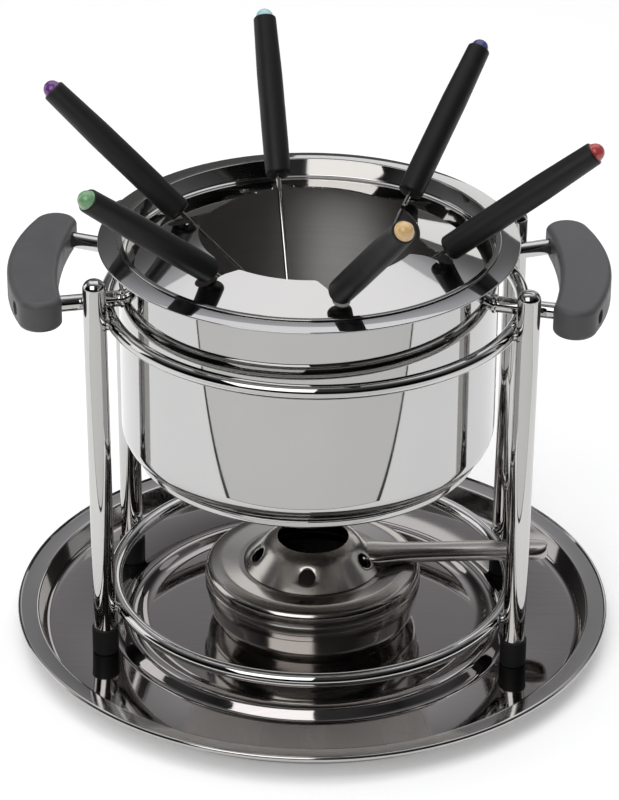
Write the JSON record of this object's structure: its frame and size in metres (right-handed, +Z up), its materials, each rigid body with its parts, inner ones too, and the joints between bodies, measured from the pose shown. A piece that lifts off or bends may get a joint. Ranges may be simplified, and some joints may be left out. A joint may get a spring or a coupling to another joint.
{
  "type": "fondue pot set",
  "caption": "Steel fondue pot hung in a wire stand on a round tray, with a splash guard, colour-capped forks and a spirit burner with a turning regulator.",
  "frame": {"origin": "centre of the tray's flat underside, where the set stands on a table", "axes": "+Z up along the stand's axis, X along the pot's two handles, -Y towards the wider gap between the posts"},
  "size_m": [0.3, 0.3, 0.2829],
  "materials": {
    "tray_steel": "satin brushed",
    "stand_chrome": "polished",
    "pot_steel": "mirror polished outside",
    "rod_steel": "polished",
    "guard_steel": "mirror polished",
    "burner_steel": "polished",
    "regulator_steel": "satin",
    "screw_steel": "satin",
    "fork_steel": "polished",
    "gauze_steel": "woven wire",
    "grip_plastic": "matte phenolic",
    "fork_plastic": "satin phenolic",
    "foot_rubber": "matte",
    "fibre": "felt",
    "cap_teal": "glossy",
    "cap_purple": "glossy",
    "cap_green": "glossy",
    "cap_tan": "glossy",
    "cap_red": "glossy",
    "cap_blue": "glossy"
  },
  "bodies": {
    "tray": {"tray": "tray_steel"},
    "stand": {"lower_ring": "stand_chrome", "upper_ring": "stand_chrome", "post_front_left": "stand_chrome", "post_front_right": "stand_chrome", "post_back_left": "stand_chrome", "post_back_right": "stand_chrome", "foot_front_left": "foot_rubber", "foot_front_right": "foot_rubber", "foot_back_left": "foot_rubber", "foot_back_right": "foot_rubber"},
    "pot": {"pot_body": "pot_steel", "pot_base_disc": "pot_steel", "grip_left": "grip_plastic", "grip_right": "grip_plastic", "grip_screws": "screw_steel", "handle_rod_front_left": "rod_steel", "handle_rod_front_right": "rod_steel", "handle_rod_back_left": "rod_steel", "handle_rod_back_right": "rod_steel"},
    "splash_guard": {"splash_guard": "guard_steel"},
    "fork_teal": {"fork_teal_prongs": "fork_steel", "fork_teal_handle": "fork_plastic", "fork_teal_cap": "cap_teal"},
    "fork_purple": {"fork_purple_prongs": "fork_steel", "fork_purple_handle": "fork_plastic", "fork_purple_cap": "cap_purple"},
    "fork_green": {"fork_green_prongs": "fork_steel", "fork_green_handle": "fork_plastic", "fork_green_cap": "cap_green"},
    "fork_tan": {"fork_tan_prongs": "fork_steel", "fork_tan_handle": "fork_plastic", "fork_tan_cap": "cap_tan"},
    "fork_red": {"fork_red_prongs": "fork_steel", "fork_red_handle": "fork_plastic", "fork_red_cap": "cap_red"},
    "fork_blue": {"fork_blue_prongs": "fork_steel", "fork_blue_handle": "fork_plastic", "fork_blue_cap": "cap_blue"},
    "burner": {"burner_cup": "burner_steel", "fibre_pad": "fibre", "wire_gauze": "gauze_steel", "burner_shell": "burner_steel", "inner_sleeve": "burner_steel"},
    "regulator": {"regulator_cap": "regulator_steel", "regulator_arm": "regulator_steel"}
  },
  "joints": [
    {"name": "stand_lift", "type": "slide", "parent": "tray", "child": "stand", "axis": [0, 0, 1], "range_m": [0, 0.04]},
    {"name": "pot_lift", "type": "slide", "parent": "stand", "child": "pot", "axis": [0, 0, 1], "range_m": [0, 0.115]},
    {"name": "splash_guard_lift", "type": "slide", "parent": "pot", "child": "splash_guard", "axis": [0, 0, 1], "range_m": [0, 0.12]},
    {"name": "burner_lift", "type": "slide", "parent": "stand", "child": "burner", "axis": [0, 0, 1], "range_m": [0, 0.045]},
    {"name": "regulator_turn", "type": "hinge", "parent": "burner", "child": "regulator", "pos_m": [0, 0, 0.041], "axis": [0, 0, 1], "range_deg": [-18, 14]},
    {"name": "fork_teal_pull", "type": "slide", "parent": "splash_guard", "child": "fork_teal", "axis": [-0.121, 0.7004, 0.7034], "range_m": [0, 0.165]},
    {"name": "fork_purple_pull", "type": "slide", "parent": "splash_guard", "child": "fork_purple", "axis": [-0.7264, 0.1452, 0.6717], "range_m": [0, 0.165]},
    {"name": "fork_green_pull", "type": "slide", "parent": "splash_guard", "child": "fork_green", "axis": [-0.6107, -0.4823, 0.628], "range_m": [0, 0.165]},
    {"name": "fork_tan_pull", "type": "slide", "parent": "splash_guard", "child": "fork_tan", "axis": [0.3495, -0.6492, 0.6756], "range_m": [0, 0.165]},
    {"name": "fork_red_pull", "type": "slide", "parent": "splash_guard", "child": "fork_red", "axis": [0.7888, -0.0193, 0.6143], "range_m": [0, 0.165]},
    {"name": "fork_blue_pull", "type": "slide", "parent": "splash_guard", "child": "fork_blue", "axis": [0.3799, 0.6742, 0.6334], "range_m": [0, 0.165]}
  ]
}
